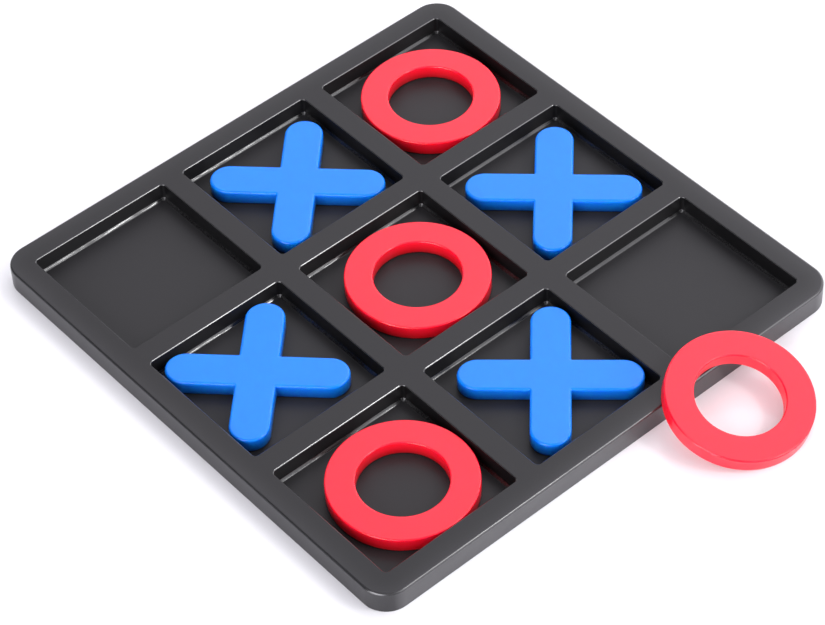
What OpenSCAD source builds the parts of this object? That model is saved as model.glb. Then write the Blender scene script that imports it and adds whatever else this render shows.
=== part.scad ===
// Tic tac toe set: a moulded board with nine square cells, four crosses and four rings.
// Millimetres, +Z up. The origin is the centre of the board's underside.
// The board's sides run along X and Y. Columns count along +X, and rows count along -Y.

/* [Board] */
// Side length of the square board
board_side = 140; // [138:1:160]
// Height of the board
board_h = 6.1; // [5.8:0.1:7]
// Radius of the board's outer corners, seen from above
corner_r = 6.5; // [5:0.5:9]
// Rounding of the top outer edge
edge_r = 0.5; // [0.3:0.1:0.7]
// Width of the rim around the cells
rim_w = 6.1; // [5.5:0.1:7]
// Width of the bars between the cells
bar_w = 6; // [5.5:0.1:7]
// Thickness of a cell's floor
floor_t = 1.3; // [1:0.1:1.6]
// Radius of a cell's upright corners
cell_corner_r = 1; // [0.9:0.1:1.5]
// Radius of the cove where a cell's walls meet its floor
cove_r = 0.8; // [0.5:0.1:0.8]
// Thickness of the shell left by the hollows under the rim and the bars
shell_t = 1.3; // [1:0.1:1.6]

/* [Playing pieces] */
// Thickness of a cross or a ring
piece_t = 3.8; // [3:0.1:4]
// Length of a cross from the end of one arm to the end of the opposite arm
cross_span = 43; // [40:0.5:44]
// Width of a cross's arm
arm_w = 9.5; // [8:0.1:10]
// Rounding of a cross's upper edges
cross_edge_r = 0.7; // [0.5:0.1:1.2]
// Rounding of a cross's lower edges
cross_base_r = 0.4; // [0.3:0.1:1]
// Outer diameter of a ring
ring_d = 35; // [33:0.1:35]
// Diameter of the hole in a ring
ring_hole_d = 21.2; // [18:0.1:23]
// Rounding of a ring's edges
ring_edge_r = 0.4; // [0.3:0.1:0.9]

/* [Leaning ring] */
// Angle at which the fourth ring leans on the board's edge
lean_angle = 12.75; // [12:0.05:14]
// Distance of the leaning ring from the board's middle, along X
lean_x = 27.5; // [10:0.1:40]

/* [Hidden] */
$fn = 48;
// Gap under a piece that lies in a cell, and between the leaning ring and what it touches
rest_gap = 0.05;
// Smallest gap between a piece and a cell wall
side_gap = 0.4;
// Extra height that takes a cut past the face it opens
past = 1;
// Side length of a cell, and the distance from one cell to the next
cell = (board_side - 2 * rim_w - 2 * bar_w) / 3;
pitch = cell + bar_w;
// Height at which a piece lies in a cell
lying_z = floor_t + rest_gap;
// Distance from a cross's middle to the middle of an arm's round end
arm_reach = (cross_span - arm_w) / 2;
// How far a piece can slide from the middle of its cell towards a wall
cross_play = cell / 2 - (arm_reach * cos(45) + arm_w / 2) - side_gap;
ring_play = (cell - ring_d) / 2 - side_gap;
// Where each cross lies: column, row, slide along X and Y as a share of its play, and turn
CROSSES = [[1, 0, 0.05, -0.67, 44.8],
    [0, 1, -0.81, 0.6, 44.6],
    [2, 1, -0.18, -0.52, 46.1],
    [1, 2, 0.89, -0.31, 47]];
// Where each of the first three rings lies: column, row, and slide as a share of its play
RINGS = [[2, 0, -0.41, -0.68],
    [1, 1, 0.52, -0.53],
    [0, 2, 0.91, -0.91]];
// Middle of the leaning ring's underside: its lower edge is on the table
// and its underside is on the rounded top edge of the board's -Y side
lean_z = (ring_d / 2 - ring_edge_r) * sin(lean_angle)
    + ring_edge_r * (1 - cos(lean_angle)) + rest_gap;
lean_y = edge_r - board_side / 2
    - (board_h - edge_r - lean_z + (edge_r + rest_gap) / cos(lean_angle)) / tan(lean_angle);

// Middle of a cell
function cell_x(column) = (column - 1) * pitch;
function cell_y(row) = (1 - row) * pitch;

// A square with round corners
module round_square(side, r) {
    square([side, side - 2 * r], center = true);
    square([side - 2 * r, side], center = true);
    for (x = [-1, 1], y = [-1, 1])
        translate([x, y] * (side / 2 - r))
            circle(r);
}

// The right half of a block's outline, with its top outer corner rounded
module edge_profile(half_w, h, r) {
    square([half_w, h - r]);
    square([half_w - r, h]);
    intersection() {
        translate([half_w - r, h - r])
            circle(r);
        square([half_w, h]);
    }
}

// A square block, side by side by h, with round upright corners and rounded top edges
module soft_block(side, h, r, top_r) {
    flat = side - 2 * r;
    for (turn = [0, 90])
        rotate([0, 0, turn])
            translate([0, flat / 2, 0])
                rotate([90, 0, 0])
                    linear_extrude(flat)
                        for (half = [0, 1])
                            mirror([half, 0])
                                edge_profile(side / 2, h, top_r);
    for (x = [-1, 1], y = [-1, 1])
        translate([x * flat / 2, y * flat / 2, 0])
            rotate_extrude()
                edge_profile(r, h, top_r);
}

// The space inside one cell, from its floor up past the board's top
module cell_space() {
    depth = board_h - floor_t + past;
    translate([0, 0, floor_t + depth])
        mirror([0, 0, 1])
            soft_block(cell, depth, cell_corner_r, cove_r);
}

// The hollows moulded under the rim and the bars, round the nine tubs that hold the cells
module under_hollows() {
    translate([0, 0, -past])
        linear_extrude(board_h - shell_t + past)
            difference() {
                round_square(board_side - 2 * shell_t, corner_r - shell_t);
                for (column = [0 : 2], row = [0 : 2])
                    translate([cell_x(column), cell_y(row)])
                        round_square(cell + 2 * shell_t, cell_corner_r + shell_t);
            }
}

// The board, one moulding: nine cells above, and hollows below
module board() {
    color([0.3, 0.3, 0.31])
        difference() {
            soft_block(board_side, board_h, corner_r, edge_r);
            for (column = [0 : 2], row = [0 : 2])
                translate([cell_x(column), cell_y(row), 0])
                    cell_space();
            under_hollows();
        }
}

// The outline of a bar of the pieces' thickness with its upper and lower edges rounded
module bar_profile(w, top_r, base_r) {
    translate([-w / 2, base_r])
        square([w, piece_t - base_r - top_r]);
    translate([top_r - w / 2, piece_t / 2])
        square([w - 2 * top_r, piece_t / 2]);
    translate([base_r - w / 2, 0])
        square([w - 2 * base_r, piece_t / 2]);
    for (side = [-1, 1]) {
        translate([side * (w / 2 - top_r), piece_t - top_r])
            circle(top_r);
        translate([side * (w / 2 - base_r), base_r])
            circle(base_r);
    }
}

// One full-length arm of a cross, along X, with round ends
module arm() {
    rotate([90, 0, 90])
        translate([0, 0, -arm_reach])
            linear_extrude(2 * arm_reach)
                bar_profile(arm_w, cross_edge_r, cross_base_r);
    for (x = [-arm_reach, arm_reach])
        translate([x, 0, 0])
            rotate_extrude()
                intersection() {
                    bar_profile(arm_w, cross_edge_r, cross_base_r);
                    square([arm_w, piece_t]);
                }
}

// A cross, lying flat with its middle at the origin
module cross() {
    arm();
    rotate([0, 0, 90])
        arm();
}

// A ring, lying flat with its middle at the origin
module ring() {
    band = (ring_d - ring_hole_d) / 2;
    rotate_extrude($fn = 96)
        translate([(ring_d + ring_hole_d) / 4, 0])
            bar_profile(band, ring_edge_r, ring_edge_r);
}

// The cross at place k of CROSSES
module x_piece(k) {
    spot = CROSSES[k];
    color([0.28, 0.6, 1])
        translate([cell_x(spot[0]) + spot[2] * cross_play,
                cell_y(spot[1]) + spot[3] * cross_play, lying_z])
            rotate([0, 0, spot[4]])
                cross();
}

// The ring at place k of RINGS
module o_piece(k) {
    spot = RINGS[k];
    color([1, 0.3, 0.36])
        translate([cell_x(spot[0]) + spot[2] * ring_play,
                cell_y(spot[1]) + spot[3] * ring_play, lying_z])
            ring();
}

// The fourth ring, on the table and leaning on the board's edge
module leaning_o_piece() {
    color([1, 0.3, 0.36])
        translate([lean_x, lean_y, lean_z])
            rotate([lean_angle, 0, 0])
                ring();
}

board();
x_piece(0);  // x_piece_1
x_piece(1);  // x_piece_2
x_piece(2);  // x_piece_3
x_piece(3);  // x_piece_4
o_piece(0);  // o_piece_1
o_piece(1);  // o_piece_2
o_piece(2);  // o_piece_3
leaning_o_piece();  // o_piece_4
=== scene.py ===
"""Looks of a tic tac toe set: a charcoal board with recessed cells, blue crosses and red rings.

The board, the crosses and the rings are each swept from a plan outline and a section profile, in
millimetres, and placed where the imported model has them. A light tent with softboxes and one small key
light stand in for a photo studio.
"""
import math

import bmesh
import bpy
import numpy as np
from mathutils import Matrix, Vector


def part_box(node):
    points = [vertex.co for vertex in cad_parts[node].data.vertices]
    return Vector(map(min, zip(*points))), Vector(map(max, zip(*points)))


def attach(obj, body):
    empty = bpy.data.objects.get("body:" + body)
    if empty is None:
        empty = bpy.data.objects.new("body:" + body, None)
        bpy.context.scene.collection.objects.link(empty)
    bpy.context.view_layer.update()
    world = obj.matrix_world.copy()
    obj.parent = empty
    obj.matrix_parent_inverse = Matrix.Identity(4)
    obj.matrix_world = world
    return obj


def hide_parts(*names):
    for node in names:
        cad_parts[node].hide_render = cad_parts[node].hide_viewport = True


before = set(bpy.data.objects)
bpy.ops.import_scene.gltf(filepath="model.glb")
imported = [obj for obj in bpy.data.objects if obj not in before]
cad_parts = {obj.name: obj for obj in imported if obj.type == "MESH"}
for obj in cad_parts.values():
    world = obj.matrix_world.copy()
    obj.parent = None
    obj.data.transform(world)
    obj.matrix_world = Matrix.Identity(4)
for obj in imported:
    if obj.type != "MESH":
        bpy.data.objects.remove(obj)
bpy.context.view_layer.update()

MM = 0.001

# Board, in millimetres. Its side and height come from the frame.
CORNER_R = 6.5
TOP_EDGE_R = 0.65
BASE_EDGE_R = 0.25
RIM_W = 6.1
BAR_W = 6.0
FLOOR_T = 1.3
CELL_CORNER_R = 1.05
SHELL_T = 1.3
HOLLOW_FILLET_R = 0.3
TUB_EDGE_R = 0.2
# The lip of a cell, from the top face down, and the cove round its floor, from the wall down:
# radius and last angle of each arc. The middle arc of each is a nearly flat strip.
LIP_ARCS = ((0.08, 127), (1.8, 134), (0.08, 180))
COVE_ARCS = ((0.25, -44), (6.7, -50), (0.25, -90))

# Playing pieces, in millimetres. Their thickness and the rings' diameter come from the frame.
ARM_W = 9.5
ARM_REACH = 16.75
ARM_EDGE_R = 0.7
ARM_BASE_R = 0.4
ARM_NOTCH_R = 0.25
RING_HOLE_R = 10.6
RING_EDGE_R = 0.4
# What the leaning ring is made smaller by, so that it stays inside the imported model's box
HAIR = 0.002

# How the pieces lie, in degrees
CROSS_TURNS = {"x_piece_1": 44.8, "x_piece_2": 44.6, "x_piece_3": 46.1, "x_piece_4": 47.0}
RINGS = ("o_piece_1", "o_piece_2", "o_piece_3", "o_piece_4")
LEANING_RING = "o_piece_4"
LEAN = 12.75

# How finely the meshes are cut
CORNER_STEPS = 14
FILLET_STEPS = 6
END_STEPS = 28
RING_STEPS = 160


# ---------------------------------------------------------------- outlines and profiles

def turn(degrees):
    """Unit vector at an angle in the plane."""
    return np.array([math.cos(math.radians(degrees)), math.sin(math.radians(degrees))])


def quarter_turn(count):
    """Matrix that turns row vectors anticlockwise by a number of quarter turns."""
    cosine, sine = round(math.cos(count * math.pi / 2)), round(math.sin(count * math.pi / 2))
    return np.array([[cosine, sine], [-sine, cosine]])


def rounded_square(centre, half, radius):
    """Outline of a square with round corners, as a function of how far out it is offset."""
    def outline(out):
        points, directions = [], []
        for quarter in range(4):
            corner = np.array([1, 1]) @ quarter_turn(quarter) * (half - radius) + centre
            for step in range(CORNER_STEPS + 1):
                direction = turn(90 * quarter + 90 * step / CORNER_STEPS)
                points.append(corner + direction * (radius + out))
                directions.append(direction)
        return points, directions
    return outline


def cross_outline(out):
    """Outline of a cross with round arm ends and barely rounded inner corners."""
    points, directions = [], []
    notch_centre = (ARM_W / 2 + ARM_NOTCH_R) * np.array([1, 1])
    for arm in range(4):
        spin = quarter_turn(arm)
        for step in range(END_STEPS + 1):
            direction = turn(-90 + 180 * step / END_STEPS)
            points.append((np.array([ARM_REACH, 0]) + direction * (ARM_W / 2 + out)) @ spin)
            directions.append(direction @ spin)
        for step in range(FILLET_STEPS + 1):
            direction = -turn(270 - 90 * step / FILLET_STEPS)
            points.append((notch_centre - direction * (ARM_NOTCH_R - out)) @ spin)
            directions.append(direction @ spin)
    return points, directions


def circle_outline(out):
    """Circle of radius out."""
    directions = [turn(360 * step / RING_STEPS) for step in range(RING_STEPS)]
    return [direction * out for direction in directions], directions


def arc(out, height, radius, start, end, hollow=False):
    """Stations of a rounded edge: offset, height, tilt of the normal, and edge mark.

    The mark is 0 where the edge runs into a flat, 1 in the middle of an outer edge and -1 in a cove."""
    stations = []
    for step in range(FILLET_STEPS + 1):
        angle = start + (end - start) * step / FILLET_STEPS
        away = turn(angle)
        mark = math.sin(math.pi * step / FILLET_STEPS) ** 2
        stations.append((out + radius * away[0], height + radius * away[1],
                         angle + (180 if hollow else 0), -mark if hollow else mark))
    return stations


def chain(arcs, start, mark, hollow=False):
    """Stations of an edge made of three arcs that run into each other, from offset 0 and height 0.

    The edge mark rises from 0 to the given one on the first arc, and falls back on the last."""
    stations = []
    spot, current = np.zeros(2), 0
    for (radius, end), target in zip(arcs, (mark, mark, 0)):
        middle = spot - radius * turn(start)
        for step in range(FILLET_STEPS + 1):
            share = step / FILLET_STEPS
            angle = start + (end - start) * share
            spot = middle + radius * turn(angle)
            stations.append((*spot, angle + (180 if hollow else 0), current + (target - current) * share))
        start, current = end, target
    return stations


def shifted(stations, out, height):
    """The same stations moved outwards and up."""
    return [(far + out, level + height, tilt, mark) for far, level, tilt, mark in stations]


# ---------------------------------------------------------------- meshes

class Moulding:
    """Vertices, their true normals and traits, and the faces of one moulded piece.

    The trait edge_mark is 1 on outer edges, -1 in coves and 0 on flats. A second trait is 1 except in the
    cells, where the board's darker colour is painted shade."""

    def __init__(self):
        self.points, self.normals, self.quads, self.flats = [], [], [], []
        self.traits = {"edge_mark": [], "outer_surface": []}

    def sweep(self, outline, profile, closed=False, outer_surface=1):
        """Adds one loop for each station of the profile, and quads between them.

        Returns the first and the last loop as lists of vertex numbers."""
        loops = []
        for out, height, tilt, mark in profile:
            points, directions = outline(out)
            first = len(self.points)
            level, rise = math.cos(math.radians(tilt)), math.sin(math.radians(tilt))
            for point, direction in zip(points, directions):
                self.points.append((point[0], point[1], height))
                self.normals.append((direction[0] * level, direction[1] * level, rise))
                self.traits["edge_mark"].append(mark)
                self.traits["outer_surface"].append(outer_surface)
            loops.append(list(range(first, len(self.points))))
        pairs = list(zip(loops, loops[1:] + loops[:1]))
        for low, high in pairs if closed else pairs[:-1]:
            for a in range(len(low)):
                b = (a + 1) % len(low)
                self.quads.append((low[a], low[b], high[b], high[a]))
        return loops[0], loops[-1]

    def painted_shade(self, top, bottom):
        """Adds a trait of painted shade, which goes from 0 at the top of the sides to 1 at their foot."""
        self.traits["painted_shade"] = [
            (top - point[2]) / (top - bottom) * (1 - abs(normal[2]) ** 6)
            for point, normal in zip(self.points, self.normals)]

    def hollow(self, radius, top, bottom):
        """Adds the trait hollow, a painted shadow which goes from 0 to 1 down the walls within a radius."""
        self.traits["hollow"] = [
            (top - point[2]) / (top - bottom) if math.hypot(point[0], point[1]) < radius else 0
            for point in self.points]

    def flat(self, loops, up):
        """Fills the flat between loops: the first is its outline and the others are holes."""
        self.flats.append((loops, up))

    def build(self, name, place=Matrix.Identity(4)):
        """Makes the Blender object, in metres, with its mesh already in place."""
        work = bmesh.new()
        vertices = [work.verts.new(place @ (Vector(point) * MM)) for point in self.points]
        for quad in self.quads:
            work.faces.new([vertices[i] for i in quad])
        for loops, up in self.flats:
            edges = []
            for loop in loops:
                for a, b in zip(loop, loop[1:] + loop[:1]):
                    pair = (vertices[a], vertices[b])
                    edges.append(work.edges.get(pair) or work.edges.new(pair))
            made = bmesh.ops.triangle_fill(work, use_beauty=True, edges=edges)["geom"]
            faces = [item for item in made if isinstance(item, bmesh.types.BMFace)]
            for face in faces:
                face.normal_update()
                if face.normal.z * up < 0:
                    face.normal_flip()
        for face in work.faces:
            face.smooth = True
        mesh = bpy.data.meshes.new(name)
        work.to_mesh(mesh)
        work.free()
        for trait, values in self.traits.items():
            mesh.attributes.new(trait, "FLOAT", "POINT").data.foreach_set("value", values)
        spin = place.to_3x3()
        mesh.normals_split_custom_set_from_vertices([spin @ Vector(normal) for normal in self.normals])
        piece = bpy.data.objects.new(name, mesh)
        bpy.context.scene.collection.objects.link(piece)
        return piece


def make_board():
    """The board: rounded rim, nine coved cells above, and the hollow shell below."""
    low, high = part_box("board")
    side = (high.x - low.x) / MM
    top = high.z / MM
    ceiling = top - SHELL_T
    cell = (side - 2 * RIM_W - 2 * BAR_W) / 3
    pitch = cell + BAR_W
    centres = [np.array([column * pitch, row * pitch]) for column in (-1, 0, 1) for row in (-1, 0, 1)]
    board = Moulding()
    ceiling_loop, top_loop = board.sweep(
        rounded_square(np.zeros(2), side / 2, CORNER_R),
        arc(-SHELL_T - HOLLOW_FILLET_R, ceiling - HOLLOW_FILLET_R, HOLLOW_FILLET_R, 90, 0, hollow=True)
        + arc(-SHELL_T + TUB_EDGE_R, TUB_EDGE_R, TUB_EDGE_R, 180, 270)
        + arc(-BASE_EDGE_R, BASE_EDGE_R, BASE_EDGE_R, 270, 360)
        + arc(-TOP_EDGE_R, top - TOP_EDGE_R, TOP_EDGE_R, 0, 90))
    lip = chain(LIP_ARCS, 90, 1)
    cove = chain(COVE_ARCS, 0, -1, hollow=True)
    mouths, roots = [], []
    for centre in centres:
        # The cells' surfaces get 0 for the trait that gives them painted shade.
        mouth, floor = board.sweep(
            rounded_square(centre, cell / 2, CELL_CORNER_R),
            shifted(lip, -lip[-1][0], top) + shifted(cove, 0, FLOOR_T - cove[-1][1]), outer_surface=0)
        root, base = board.sweep(
            rounded_square(centre, cell / 2 + SHELL_T, CELL_CORNER_R + SHELL_T),
            arc(HOLLOW_FILLET_R, ceiling - HOLLOW_FILLET_R, HOLLOW_FILLET_R, 90, 180, hollow=True)
            + arc(-TUB_EDGE_R, TUB_EDGE_R, TUB_EDGE_R, 0, -90))
        mouths.append(mouth)
        roots.append(root)
        board.flat([floor], 1)
        board.flat([base], -1)
    board.flat([top_loop] + mouths, 1)
    board.flat([ceiling_loop] + roots, -1)
    return board.build("moulded_board")


def make_cross(node):
    """One cross, turned and placed as its CAD node is."""
    low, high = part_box(node)
    thick = (high.z - low.z) / MM
    cross = Moulding()
    under, over = cross.sweep(
        cross_outline,
        arc(-ARM_BASE_R, ARM_BASE_R, ARM_BASE_R, -90, 0)
        + arc(-ARM_EDGE_R, thick - ARM_EDGE_R, ARM_EDGE_R, 0, 90))
    cross.flat([under], -1)
    cross.flat([over], 1)
    # Painted shade: the sides darken towards the foot.
    cross.painted_shade(thick, 0)
    middle = (low + high) / 2
    place = Matrix.Translation((middle.x, middle.y, low.z))
    return cross.build(node + "_moulding", place @ Matrix.Rotation(math.radians(CROSS_TURNS[node]), 4, "Z"))


def make_ring(node):
    """One ring, flat in its cell or leaning as its CAD node is."""
    low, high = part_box(node)
    radius = (high.x - low.x) / MM / 2 - HAIR
    flat_low, flat_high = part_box(RINGS[0])
    thick = (flat_high.z - flat_low.z) / MM
    half = thick / 2
    ring = Moulding()
    ring.sweep(
        circle_outline,
        arc(radius - RING_EDGE_R, RING_EDGE_R - half, RING_EDGE_R, -90, 0)
        + arc(radius - RING_EDGE_R, half - RING_EDGE_R, RING_EDGE_R, 0, 90)
        + arc(RING_HOLE_R + RING_EDGE_R, half - RING_EDGE_R, RING_EDGE_R, 90, 180)
        + arc(RING_HOLE_R + RING_EDGE_R, RING_EDGE_R - half, RING_EDGE_R, 180, 270), closed=True)
    lean = LEAN if node == LEANING_RING else 0
    if not lean:
        # Painted shade: the sides of the rings that lie flat darken towards the foot.
        ring.painted_shade(half, -half)
        # Painted shadow: the foot of the hole walls is darkened further.
        ring.hollow(RING_HOLE_R + RING_EDGE_R / 2, half, -half)
    place = Matrix.Translation((low + high) / 2)
    return ring.build(node + "_moulding", place @ Matrix.Rotation(math.radians(lean), 4, "X"))


# ---------------------------------------------------------------- materials

# Colours of the board, each in its cells and elsewhere: clean, dusty, and paler on surfaces that face the
# front right, which is painted light. The darker colours in the cells are painted shade.
CLEAN = ((0.0028, 0.0027, 0.0030), (0.0145, 0.0138, 0.0158))
DUSTY = ((0.0045, 0.0044, 0.0048), (0.0175, 0.0168, 0.0188))
PAINTED_FRONT_LIGHT = ((0.0105, 0.0103, 0.0108), (0.046, 0.045, 0.048))
CELL_FLOOR = (0.0165, 0.016, 0.0173)
RUBBED_EDGE = (0.02, 0.02, 0.021)

# Playing pieces: colour above and at the foot, where the darker colour is painted shade, scatter of each
# channel, and specular level
BLUE = ((0.003, 0.214, 0.86), (0.001, 0.055, 0.22), (0.2, 0.6, 1.0), 0.5)
RED = ((0.88, 0.005, 0.029), (0.62, 0.002, 0.006), (1.0, 0.3, 0.25), 0.65)
# Black for the painted shadow at the foot of the rings' hole walls
HOLE_SHADOW_BLACK = (0, 0, 0)

PLASTIC_IOR = 1.5
# How much less rough the rubbed edges are
EDGE_POLISH = 0.10
# Depths of the mould grain in metres
BOARD_GRAIN = 0.000008
PIECE_GRAIN = 0.000005


class Shader:
    """A material's node tree, with short calls that add and join nodes."""

    def __init__(self, name):
        self.material = bpy.data.materials.new(name)
        self.material.use_nodes = True
        self.tree = self.material.node_tree
        self.surface = self.tree.nodes["Principled BSDF"]
        self.place = self.add("ShaderNodeTexCoord").outputs["Object"]

    def add(self, kind, **settings):
        node = self.tree.nodes.new(kind)
        for key, value in settings.items():
            setattr(node, key, value)
        return node

    def join(self, source, target):
        self.tree.links.new(source, target)

    def noise(self, scale, detail, squash=(1, 1, 1)):
        """Noise with about scale lumps to the metre, squashed along the axes."""
        node = self.add("ShaderNodeTexNoise")
        spaced = self.add("ShaderNodeVectorMath", operation="MULTIPLY")
        spaced.inputs[1].default_value = squash
        self.join(self.place, spaced.inputs[0])
        node.inputs["Scale"].default_value = scale
        node.inputs["Detail"].default_value = detail
        self.join(spaced.outputs["Vector"], node.inputs["Vector"])
        return node.outputs["Fac"]

    def spread(self, source, low, high, start=0.35, stop=0.65):
        """Maps a noise to the range low to high."""
        node = self.add("ShaderNodeMapRange")
        for key, value in (("From Min", start), ("From Max", stop), ("To Min", low), ("To Max", high)):
            node.inputs[key].default_value = value
        self.join(source, node.inputs["Value"])
        return node.outputs["Result"]

    def mix(self, amount, low, high):
        """Mixes two colours by a value."""
        node = self.add("ShaderNodeMix", data_type="RGBA")
        self.join(amount, node.inputs["Factor"])
        for socket, value in ((node.inputs[6], low), (node.inputs[7], high)):
            if isinstance(value, bpy.types.NodeSocket):
                self.join(value, socket)
            else:
                socket.default_value = (*value, 1)
        return node.outputs[2]

    def maths(self, operation, first, second):
        """Joins two values, or a value and a number."""
        node = self.add("ShaderNodeMath", operation=operation)
        for socket, value in zip(node.inputs, (first, second)):
            if isinstance(value, bpy.types.NodeSocket):
                self.join(value, socket)
            else:
                socket.default_value = value
        return node.outputs[0]

    def trait(self, name):
        """A trait of the mesh, or 0 where the mesh does not have it."""
        return self.add("ShaderNodeAttribute", attribute_name=name).outputs["Fac"]

    def facing(self, direction):
        """1 on surfaces that face a direction squarely, 0 on surfaces that do not."""
        dot = self.add("ShaderNodeVectorMath", operation="DOT_PRODUCT")
        dot.inputs[1].default_value = direction
        self.join(self.add("ShaderNodeNewGeometry").outputs["Normal"], dot.inputs[0])
        return self.spread(dot.outputs["Value"], 0, 1, 0.9, 0.99)

    def bump(self, height, depth):
        """Turns a height from 0 to 1 into a bump of a depth in metres."""
        node = self.add("ShaderNodeBump")
        node.inputs["Distance"].default_value = depth
        self.join(height, node.inputs["Height"])
        self.join(node.outputs["Normal"], self.surface.inputs["Normal"])

    def set(self, **values):
        """Sets the shader's own sockets. An underscore stands for a space."""
        for key, value in values.items():
            self.surface.inputs[key.replace("_", " ")].default_value = value


def board_plastic():
    """Charcoal satin plastic: fine mould grain, rubbed edges, glossier tool marks in the coves, painted
    shade in the cells and painted light on surfaces that face the front right.
    """
    shader = Shader("board_plastic")
    shader.set(IOR=PLASTIC_IOR)
    blotches = shader.noise(55, detail=3)
    grain = shader.noise(2600, detail=2)
    streaks = shader.noise(1, detail=4, squash=(220, 5200, 5200))
    mark = shader.trait("edge_mark")
    rubbed = shader.maths("MAXIMUM", mark, 0)
    tooled = shader.maths("MAXIMUM", shader.maths("MULTIPLY", mark, -1), 0)
    outer_surface = shader.trait("outer_surface")
    sheltered = shader.maths("MULTIPLY", shader.facing((0, 0, 1)), shader.maths("SUBTRACT", 1, outer_surface))

    # Painted shade: the board is darker in the cells than outside them; blotches of dust at random.
    body = shader.mix(shader.spread(blotches, 0, 1), shader.mix(outer_surface, *CLEAN), shader.mix(outer_surface, *DUSTY))
    # Painted light: surfaces that face the front right are paler.
    body = shader.mix(shader.facing((0, -1, 0)), body, shader.mix(outer_surface, *PAINTED_FRONT_LIGHT))
    body = shader.mix(sheltered, body, CELL_FLOOR)
    shader.join(shader.mix(rubbed, body, RUBBED_EDGE), shader.surface.inputs["Base Color"])

    burnished = shader.maths("ADD", shader.maths("MULTIPLY", rubbed, 0.4), 0.5)
    burnished = shader.maths("SUBTRACT", burnished, shader.maths("MULTIPLY", sheltered, 0.16))
    shader.join(burnished, shader.surface.inputs["Specular IOR Level"])

    satin = shader.spread(blotches, 0.28, 0.34)
    satin = shader.maths("ADD", satin, shader.maths("MULTIPLY", sheltered, 0.10))
    rough = shader.maths("SUBTRACT", satin, shader.maths("MULTIPLY", rubbed, EDGE_POLISH))
    marks = shader.spread(streaks, -0.05, 0.17, 0.42, 0.58)
    rough = shader.maths("SUBTRACT", rough, shader.maths("MULTIPLY", tooled, marks))
    shader.join(rough, shader.surface.inputs["Roughness"])

    lines = shader.maths("MULTIPLY", shader.maths("MULTIPLY", streaks, tooled), 0.8)
    shader.bump(shader.maths("ADD", grain, lines), BOARD_GRAIN)
    return shader.material


def piece_plastic(name, colour, painted_foot_shade, scatter, shine):
    """Smooth coloured plastic that lets a little light through, with painted shade towards the foot and a
    painted shadow at the foot of the rings' hole walls.
    """
    shader = Shader(name)
    shader.set(IOR=PLASTIC_IOR, Subsurface_Weight=0.85, Subsurface_Radius=scatter, Subsurface_Scale=0.0006)
    blotches = shader.noise(70, detail=3)
    grain = shader.noise(1500, detail=2)
    rubbed = shader.maths("MAXIMUM", shader.trait("edge_mark"), 0)

    # Painted shade: the colour turns to the foot colour down the sides.
    body = shader.mix(shader.trait("painted_shade"), colour, painted_foot_shade)
    # Painted shadow: the foot of the rings' hole walls turns towards black.
    painted_hole_shadow = shader.maths("MULTIPLY", shader.maths("POWER", shader.trait("hollow"), 3), 0.65)
    shader.join(shader.mix(painted_hole_shadow, body, HOLE_SHADOW_BLACK), shader.surface.inputs["Base Color"])

    satin = shader.spread(blotches, 0.275, 0.31)
    rough = shader.maths("SUBTRACT", satin, shader.maths("MULTIPLY", rubbed, EDGE_POLISH))
    shader.join(rough, shader.surface.inputs["Roughness"])

    dulled = shader.maths("SUBTRACT", shine, shader.maths("MULTIPLY", rubbed, 0.2))
    shader.join(dulled, shader.surface.inputs["Specular IOR Level"])
    shader.bump(grain, PIECE_GRAIN)
    return shader.material


def floor_material():
    """Smooth white laminate."""
    shader = Shader("white_laminate")
    shader.set(Roughness=0.14, Base_Color=(0.86, 0.86, 0.87, 1))
    return shader.material


# ---------------------------------------------------------------- studio

# Camera: the point it looks at in metres, its heading from +Y towards +X, its height angle and
# its tilt in degrees, its distance in metres and its lens in millimetres
AIM = Vector((-0.00899, -0.01003, 0.0061))
HEADING = 39.256
HEIGHT_ANGLE = 46.838
TILT = -2.682
DISTANCE = 0.6926
LENS = 129.75

# Key light: its heading and height angle in degrees, and its distance and side in metres
KEY_HEADING = 149
KEY_HEIGHT_ANGLE = 43
KEY_DISTANCE = 0.9
KEY_SIDE = 0.10
KEY_RADIANCE = 46

# Patches of the light tent: direction, the cosines of the angle from it where the patch starts and
# where it is full, and its strength outside and inside. The walls are the product of three patches,
# and the softboxes are added to them.
ROOF = ((0.45, 0.75, 0.55), 0.3, 0.9, 0.62, 1.05)
DARK_LEFT = ((-0.8, 0.5, 0.35), 0.5, 0.85, 1.0, 0.05)
BRIGHT_RIGHT = ((1, 0, 0), 0.3, 0.5, 0.88, 1.42)
LEFT_SOFTBOX = ((-0.95, -0.1, 0.28), 0.72, 0.95, 0.0, 6.4)
LEFT_CUT = ((-0.8, 0.5, 0.35), 0.84, 0.96, 1.0, 0.02)
RIGHT_SOFTBOX = ((0.95, 0.15, 0.25), 0.75, 0.95, 0.0, 1.0)
HIGH_RIGHT = ((0.5, 0.05, 0.85), 0.85, 0.98, 0.0, 0.4)
FRONT_SOFTBOX = ((0.45, -0.78, 0.5), 0.78, 0.97, 0.0, 2.0)
TENT_COLOUR = (0.99, 0.975, 1.035)


def towards(heading, height_angle):
    """Unit vector away from the middle at a compass heading from +Y, and an angle above the floor."""
    heading, height_angle = math.radians(heading), math.radians(height_angle)
    level = math.cos(height_angle)
    return Vector((math.sin(heading) * level, math.cos(heading) * level, math.sin(height_angle)))


def facing_matrix(spot, away):
    """Matrix of something at a spot that looks back along a direction."""
    return Matrix.Translation(spot) @ away.to_track_quat("Z", "Y").to_matrix().to_4x4()


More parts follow.
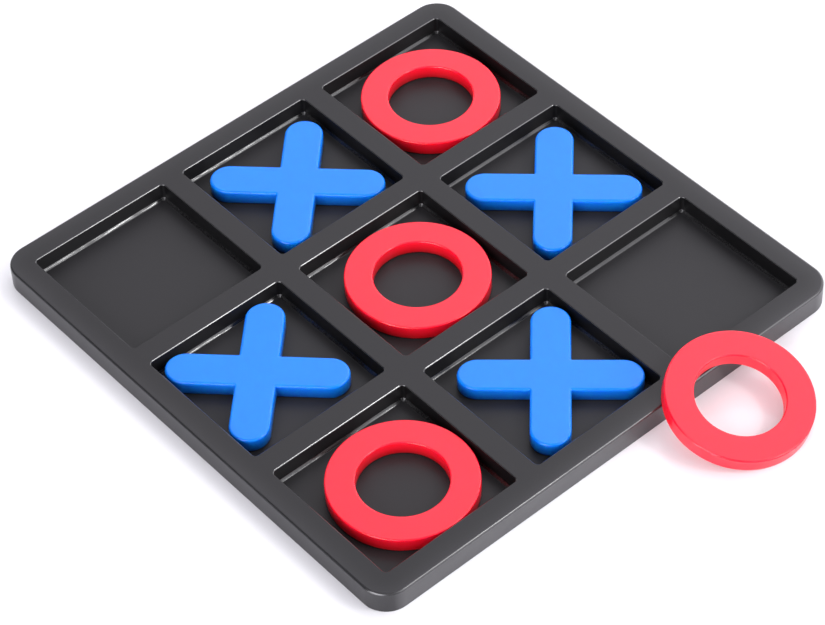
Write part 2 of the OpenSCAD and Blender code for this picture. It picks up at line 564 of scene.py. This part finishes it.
def make_camera():
    """The camera, with no shift and no depth of field."""
    data = bpy.data.cameras.new("camera")
    data.lens = LENS
    data.sensor_width = 36
    data.clip_start = 0.01
    camera = bpy.data.objects.new("camera", data)
    away = towards(HEADING + 180, HEIGHT_ANGLE)
    tilt = Matrix.Rotation(math.radians(TILT), 4, "Z")
    camera.matrix_world = facing_matrix(AIM + away * DISTANCE, away) @ tilt
    bpy.context.scene.collection.objects.link(camera)
    bpy.context.scene.camera = camera


def make_key():
    """The key light: a small strong panel to the front right."""
    data = bpy.data.lights.new("key", "AREA")
    data.shape = "RECTANGLE"
    data.size, data.size_y = KEY_SIDE, KEY_SIDE
    data.energy = KEY_RADIANCE * math.pi * KEY_SIDE * KEY_SIDE
    panel = bpy.data.objects.new("key", data)
    away = towards(KEY_HEADING, KEY_HEIGHT_ANGLE)
    panel.matrix_world = facing_matrix(away * KEY_DISTANCE, away)
    bpy.context.scene.collection.objects.link(panel)


def make_tent():
    """The world: a white light tent with softboxes to the left, the right and the front."""
    world = bpy.data.worlds.new("light_tent")
    world.use_nodes = True
    tree = world.node_tree
    background = tree.nodes["Background"]
    place = tree.nodes.new("ShaderNodeTexCoord").outputs["Generated"]

    def glow(direction, start, stop, low, high):
        """A value that goes from low to high as the view turns towards a direction."""
        dot = tree.nodes.new("ShaderNodeVectorMath")
        dot.operation = "DOT_PRODUCT"
        dot.inputs[1].default_value = Vector(direction).normalized()
        tree.links.new(place, dot.inputs[0])
        ramp = tree.nodes.new("ShaderNodeMapRange")
        ramp.interpolation_type = "SMOOTHSTEP"
        for key, value in (("From Min", start), ("From Max", stop), ("To Min", low), ("To Max", high)):
            ramp.inputs[key].default_value = value
        tree.links.new(dot.outputs["Value"], ramp.inputs["Value"])
        return ramp.outputs["Result"]

    def joined(operation, first, second):
        """The sum or product of two values."""
        node = tree.nodes.new("ShaderNodeMath")
        node.operation = operation
        tree.links.new(first, node.inputs[0])
        tree.links.new(second, node.inputs[1])
        return node.outputs[0]

    walls = joined("MULTIPLY", joined("MULTIPLY", glow(*DARK_LEFT), glow(*BRIGHT_RIGHT)), glow(*ROOF))
    left_lamps = joined("MULTIPLY", glow(*LEFT_SOFTBOX), glow(*LEFT_CUT))
    right_lamps = joined("ADD", glow(*RIGHT_SOFTBOX), glow(*HIGH_RIGHT))
    lamps = joined("ADD", joined("ADD", left_lamps, right_lamps), glow(*FRONT_SOFTBOX))
    tree.links.new(joined("ADD", walls, lamps), background.inputs["Strength"])
    background.inputs["Color"].default_value = (*TENT_COLOUR, 1)
    bpy.context.scene.world = world


def make_studio():
    """A white floor, the key light and the light tent."""
    bpy.ops.mesh.primitive_plane_add(size=6)
    floor = bpy.context.object
    floor.name = "floor"
    floor.data.materials.append(floor_material())
    make_key()
    make_tent()
    bpy.context.scene.view_settings.view_transform = "Standard"


# ---------------------------------------------------------------- the set

def finish_piece(piece, node, material):
    """Gives a piece its material, and lets it stand for a CAD node and ride on its body."""
    piece.data.materials.append(material)
    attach(piece, node)
    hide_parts(node)


make_camera()
make_studio()
finish_piece(make_board(), "board", board_plastic())
blue = piece_plastic("cross_plastic", *BLUE)
red = piece_plastic("ring_plastic", *RED)
for node in CROSS_TURNS:
    finish_piece(make_cross(node), node, blue)
for node in RINGS:
    finish_piece(make_ring(node), node, red)
